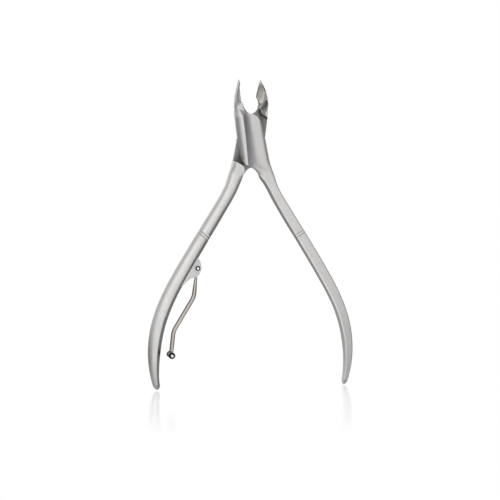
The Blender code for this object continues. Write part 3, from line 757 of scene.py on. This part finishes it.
front = lever("front_lever_steel", SLIM, FACET_SLIM, (1.1, 7.0, 9.0, 8.0), True, (front_satin, front_scoop, front_hollow_shade, front_mill, front_land, jaw_edge_shade_front))
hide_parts("front_lever")
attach(front, "front_lever")

back = lever("back_lever_steel", WIDE, FACET_WIDE, (0.8, 3.2, 2.4, 2.6), False, (back_satin, back_scoop, back_leaf, back_milled_shade, back_land, jaw_edge_shade_back))
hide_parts("back_lever")
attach(back, "back_lever")

# ---------------------------------------------------------------------------
# rivet: hidden between the laps, its tail ground flush at the back
# ---------------------------------------------------------------------------
bm = bmesh.new()
half = FLAT - SCOOP
profile = [(0.0, -half + 0.25), (RIVET_R - 0.15, -half + 0.25), (RIVET_R, -half + 0.4), (RIVET_R, half - 0.12),
           (RIVET_R - 0.1, half - 0.02), (0.0, half)]
ring = [bm.verts.new((r * MM, y * MM, 0)) for r, y in profile]
for a, b in zip(ring, ring[1:]):
    bm.edges.new((a, b))
bmesh.ops.spin(bm, geom=bm.verts[:] + bm.edges[:], cent=(0, 0, 0), axis=(0, 1, 0), angle=math.tau, steps=64)
bmesh.ops.remove_doubles(bm, verts=bm.verts, dist=1e-6)
rivet = add_object("joint_rivet_steel", bm, [back_satin])
tilt(rivet, 1)
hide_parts("joint_rivet")
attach(rivet, "back_lever")


# ---------------------------------------------------------------------------
# spring lug, brazed to the handle's inner side with a hollow fillet below it
# ---------------------------------------------------------------------------
root = [(-16.0, -54.0), (-14.4, -50.0), (-13.3, -46.8), (-12.3, -43.5)]
tip = fair([(-11.7, -43.35), (-11.2, -43.85), (-10.6, -44.7), (-10.1, -45.8), (-9.88, -47.0),
            (-10.05, -48.3), (-10.5, -49.4), (-11.1, -50.15), (-12.0, -50.5), (-12.95, -50.95),
            (-13.75, -51.75), (-14.6, -52.9), (-15.4, -54.0)], 5)
lug = prism("spring_lug_steel", root + tip, -LUG_THICK / 2, LUG_THICK / 2, material=lug_metal, cutter=False)
slot_cut = prism("lug_slot", [(-12.2, -43.0), (-12.4, -48.5), (-14.2, -53.0), (-14.2, -56.0), (-7.5, -56.0), (-7.5, -43.0)],
                 -SLOT / 2, SLOT / 2, material=lug_metal)
combine(lug, slot_cut, "DIFFERENCE")
settle(lug)
tilt(lug, 1)
bevel = lug.modifiers.new("Bevel", "BEVEL")
bevel.width = 0.2 * MM
bevel.segments = 3
bevel.limit_method = "ANGLE"
bevel.angle_limit = math.radians(60)
lug.modifiers.new("Normals", "WEIGHTED_NORMAL").keep_sharp = True
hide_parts("spring_lug")
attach(lug, "back_lever")


def turned(name, profile, at, material, steps=48):
    bm = bmesh.new()
    ring = [bm.verts.new((r * MM, y * MM, 0)) for r, y in profile]
    for a, b in zip(ring, ring[1:]):
        bm.edges.new((a, b))
    bmesh.ops.spin(bm, geom=bm.verts[:] + bm.edges[:], cent=(0, 0, 0), axis=(0, 1, 0), angle=math.tau, steps=steps)
    bmesh.ops.remove_doubles(bm, verts=bm.verts, dist=1e-6)
    bm.transform(Matrix.Translation((at[0] * MM, 0, at[1] * MM)))
    obj = add_object(name, bm, [material])
    tilt(obj, 1)
    return obj


def dome(r, base, height, n=10):
    return [(r * math.sin(math.radians(90 * i / n)), base + height * math.cos(math.radians(90 * i / n)))
            for i in range(n + 1)]


cap = dome(0.85, LUG_THICK / 2 + 0.28, 0.47)
half_pin = cap + [(0.85, LUG_THICK / 2 + 0.02), (PIN_R, LUG_THICK / 2 + 0.02)]
pin = turned("spring_pin_steel", half_pin + [(r, -y) for r, y in reversed(half_pin)], ARM_PIN, spring_pin_metal)
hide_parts("spring_pin")
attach(pin, "back_lever")

inner, outer = WIRE_R + 0.12, CROSS_LEN / 2
half_bar = dome(KNOB_R, outer - 0.85, 0.85, 12) + [
    (KNOB_R, outer - 1.0), (KNOB_R - 0.05, inner + 0.25), (KNOB_R - 0.25, inner), (PIN_R, inner)]
bar = turned("cross_pin_steel", half_bar + [(r, -y) for r, y in reversed(half_bar)], ARM_END, cross_pin_metal)
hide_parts("cross_pin")
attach(bar, "spring_arm")

# ---------------------------------------------------------------------------
# spring arm: bent wire, thinned towards its top eye, an eye at each end
# ---------------------------------------------------------------------------
corners = [Vector(c) for c in (ARM_PIN, ARM_BEND_1, ARM_BEND_2, ARM_END)]
route = []
soft = 1.35


def stretch(a, b, n):
    return [a + (b - a) * (i / n) for i in range(n)]


cursor = corners[0]
for a, b, c in zip(corners, corners[1:], corners[2:]):
    p, q = b + (a - b).normalized() * soft, b + (c - b).normalized() * soft
    route += stretch(cursor, p, 14)
    route += [(1 - i / 10) ** 2 * p + 2 * (i / 10) * (1 - i / 10) * b + (i / 10) ** 2 * q for i in range(10)]
    cursor = q
route += stretch(cursor, corners[-1], 14) + [corners[-1]]
rings = []
for i, p in enumerate(route):
    d = (route[min(i + 1, len(route) - 1)] - route[max(i - 1, 0)]).normalized()
    side_way = Vector((d.y, -d.x))
    drop = corners[0].y - p.y
    r = WIRE_R * (0.62 + 0.38 * ease(2.5, 9.0, drop))
    r *= 1 - 0.12 * ease(28.5, 31.2, drop)
    ring = []
    for k in range(28):
        a = math.tau * k / 28
        ring.append((p.x + side_way.x * r * math.cos(a), r * 1.0 * math.sin(a), p.y + side_way.y * r * math.cos(a)))
    rings.append(ring)
arm = add_object("spring_arm_steel", loft(rings), [wire_metal])
for label, at, r, t in (("top", ARM_PIN, 1.05, 0.6), ("end", ARM_END, 1.02, 0.66)):
    combine(arm, rod("arm_eye_" + label, r, -t, t, at, 48, wire_metal), "UNION")
for label, at in (("top", ARM_PIN), ("end", ARM_END)):
    combine(arm, rod("arm_hole_" + label, PIN_R + 0.08, -3, 3, at, 40, wire_metal), "DIFFERENCE")
settle(arm)
tilt(arm, 1)
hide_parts("spring_arm")
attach(arm, "spring_arm")

# the cutters are used up
for o in list(workshop.objects):
    bpy.data.objects.remove(o, do_unlink=True)
bpy.data.collections.remove(workshop)

# ---------------------------------------------------------------------------
# floor, light and camera
# ---------------------------------------------------------------------------
bm = bmesh.new()
bmesh.ops.create_circle(bm, cap_ends=True, segments=128, radius=4.0)
bm.transform(Matrix.Translation((0, 0, -0.0002)))
mesh = bpy.data.meshes.new("floor")
bm.to_mesh(mesh)
bm.free()
floor = bpy.data.objects.new("floor", mesh)
bpy.context.scene.collection.objects.link(floor)
mat = bpy.data.materials.new("pale_floor")
mat.use_nodes = True
g = Nodes(mat)
out = g.add("ShaderNodeOutputMaterial")
glow = g.add("ShaderNodeEmission", Strength=0.915)
glow.inputs["Color"].default_value = (1.0, 1.0, 1.0, 1.0)
place = g.add("ShaderNodeNewGeometry")
toward = g.add("ShaderNodeVectorMath", operation="NORMALIZE")
g.link(place.outputs["Position"], toward.inputs[0])
front_dot = g.add("ShaderNodeVectorMath", operation="DOT_PRODUCT")
g.link(toward.outputs[0], front_dot.inputs[0])
front_dot.inputs[1].default_value = (-0.12, -0.99, 0.0)
lit = g.add("ShaderNodeMath", operation="MAXIMUM")
g.link(front_dot.outputs["Value"], lit.inputs[0])
lit.inputs[1].default_value = 0.0
power_ = g.add("ShaderNodeMath", operation="POWER")
g.link(lit.outputs[0], power_.inputs[0])
power_.inputs[1].default_value = 4.0
spill = remap(g, power_.outputs[0], 0.0, 1.0, 0.20, 1.05)
path = g.add("ShaderNodeLightPath")
level = g.add("ShaderNodeMix", data_type="FLOAT")
g.link(path.outputs["Is Camera Ray"], level.inputs[0])
g.link(spill, level.inputs[2])
# the polish that mirrors the object's feet wears off away from them
away = g.add("ShaderNodeVectorMath", operation="LENGTH")
g.link(place.outputs["Position"], away.inputs[0])
polish = remap(g, away.outputs["Value"], 0.03, 0.10, 0.36, 0.0)
plain_part = g.add("ShaderNodeMath", operation="SUBTRACT")
plain_part.inputs[0].default_value = 1.01
g.link(polish, plain_part.inputs[1])
g.link(plain_part.outputs[0], level.inputs[3])
g.link(level.outputs[0], glow.inputs["Strength"])
gloss = g.add("ShaderNodeBsdfGlossy", Roughness=0.15)
g.link(polish, gloss.inputs["Color"])
both = g.add("ShaderNodeAddShader")
g.link(glow.outputs[0], both.inputs[0])
g.link(gloss.outputs[0], both.inputs[1])
g.link(both.outputs[0], out.inputs["Surface"])
mesh.materials.append(mat)

bm = bmesh.new()
bmesh.ops.create_grid(bm, x_segments=1, y_segments=1, size=1.0)
bm.transform(Matrix.Translation((0, 1.3, 0.6)) @ Matrix.Rotation(math.radians(90), 4, "X"))
mesh = bpy.data.meshes.new("backdrop")
bm.to_mesh(mesh)
bm.free()
backdrop = bpy.data.objects.new("backdrop", mesh)
bpy.context.scene.collection.objects.link(backdrop)
mat = bpy.data.materials.new("pale_backdrop")
mat.use_nodes = True
g = Nodes(mat)
out = g.add("ShaderNodeOutputMaterial")
glow = g.add("ShaderNodeEmission", Strength=1.0)
glow.inputs["Color"].default_value = (1.0, 1.0, 1.0, 1.0)
g.link(glow.outputs[0], out.inputs["Surface"])
mesh.materials.append(mat)

world = bpy.data.worlds.new("studio")
bpy.context.scene.world = world
world.use_nodes = True
g = Nodes(world)
out = g.add("ShaderNodeOutputWorld")
coord = g.add("ShaderNodeTexCoord")
direction = coord.outputs["Generated"]
WORLD_BASE = 0.08
LOBES = [  # azimuth and elevation in degrees, 0 facing the front and rising to the right; strength; tightness
    (8.0, 3.0, 1.15, 12.0),
    (-16.0, 5.0, 0.72, 4.0),
    (-72.0, 8.0, 0.72, 1.5),
    (-135.0, 5.0, 0.22, 3.0),
    (130.0, 5.0, 0.70, 8.0),
    (108.0, 26.0, 1.50, 8.0),
    (0.0, 90.0, 0.50, 2.5),
]
total = None
for turn, rise, strength, tight in LOBES:
    turn, rise = math.radians(turn), math.radians(rise)
    d = (math.sin(turn) * math.cos(rise), -math.cos(turn) * math.cos(rise), math.sin(rise))
    dot = g.add("ShaderNodeVectorMath", operation="DOT_PRODUCT")
    g.link(direction, dot.inputs[0])
    dot.inputs[1].default_value = Vector(d).normalized()
    top = g.add("ShaderNodeMath", operation="MAXIMUM")
    g.link(dot.outputs["Value"], top.inputs[0])
    top.inputs[1].default_value = 0.0
    pw = g.add("ShaderNodeMath", operation="POWER")
    g.link(top.outputs[0], pw.inputs[0])
    pw.inputs[1].default_value = tight
    sc = g.add("ShaderNodeMath", operation="MULTIPLY_ADD")
    g.link(pw.outputs[0], sc.inputs[0])
    sc.inputs[1].default_value = strength
    if total is None:
        sc.inputs[2].default_value = WORLD_BASE
    else:
        g.link(total, sc.inputs[2])
    total = sc.outputs[0]
light = g.add("ShaderNodeBackground")
g.link(total, light.inputs["Strength"])
plain = g.add("ShaderNodeBackground", Strength=1.0)
plain.inputs["Color"].default_value = (1, 1, 1, 1)
path = g.add("ShaderNodeLightPath")
pick = g.add("ShaderNodeMixShader")
g.link(path.outputs["Is Camera Ray"], pick.inputs[0])
g.link(light.outputs[0], pick.inputs[1])
g.link(plain.outputs[0], pick.inputs[2])
g.link(pick.outputs[0], out.inputs["Surface"])


def softbox(name, at, size, watts, aim=(0, 0, 0.06)):
    lamp = bpy.data.lights.new(name, "AREA")
    lamp.shape = "RECTANGLE"
    lamp.size, lamp.size_y = size
    lamp.energy = watts
    obj = bpy.data.objects.new(name, lamp)
    bpy.context.scene.collection.objects.link(obj)
    obj.location = at
    obj.rotation_mode = "QUATERNION"
    obj.rotation_quaternion = (Vector(aim) - Vector(at)).to_track_quat("-Z", "Y")
    return obj


softbox("key", (-0.45, -0.75, 0.45), (0.5, 0.6), 0.35)
softbox("top", (0.05, -0.1, 0.8), (0.6, 0.6), 0.3)

cam = bpy.data.cameras.new("camera")
cam.lens = 113.66
cam.sensor_width = 36.0
cam.clip_start, cam.clip_end = 0.01, 20.0
eye = bpy.data.objects.new("camera", cam)
bpy.context.scene.collection.objects.link(eye)
eye.location = (-0.1144, -0.5373, 0.0865)
aim = Vector((-0.000354, -0.00064, 0.0481))
eye.rotation_mode = "QUATERNION"
eye.rotation_quaternion = (aim - eye.location).to_track_quat("-Z", "Y")
bpy.context.scene.camera = eye
bpy.context.scene.view_settings.view_transform = "Standard"
